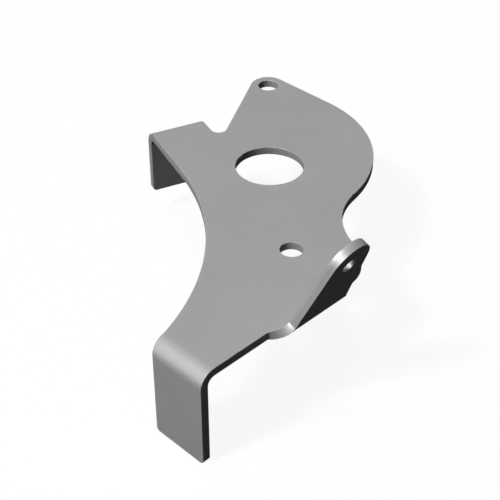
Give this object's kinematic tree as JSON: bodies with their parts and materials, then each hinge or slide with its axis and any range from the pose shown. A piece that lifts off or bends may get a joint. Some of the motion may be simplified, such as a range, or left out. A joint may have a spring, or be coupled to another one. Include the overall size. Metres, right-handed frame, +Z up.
{
  "type": "stamped metal bracket",
  "caption": "Folded sheet steel bracket: flat plate with a large hole and small fixing holes, legs folded down at one side and a holed lug folded up.",
  "frame": {"origin": "centre of the large hole, on the underside of the plate", "axes": "+X along the straight front edge towards the rounded end, +Y across the plate from the lug's edge towards the tab, +Z up, out of the side that the lug rises from"},
  "size_m": [0.1439, 0.1309, 0.0663],
  "materials": {
    "sheet_steel": "matte grey zinc phosphate coat on cold-rolled steel, with sheared edges"
  },
  "bodies": {
    "root": {"bracket": "sheet_steel"}
  },
  "joints": []
}
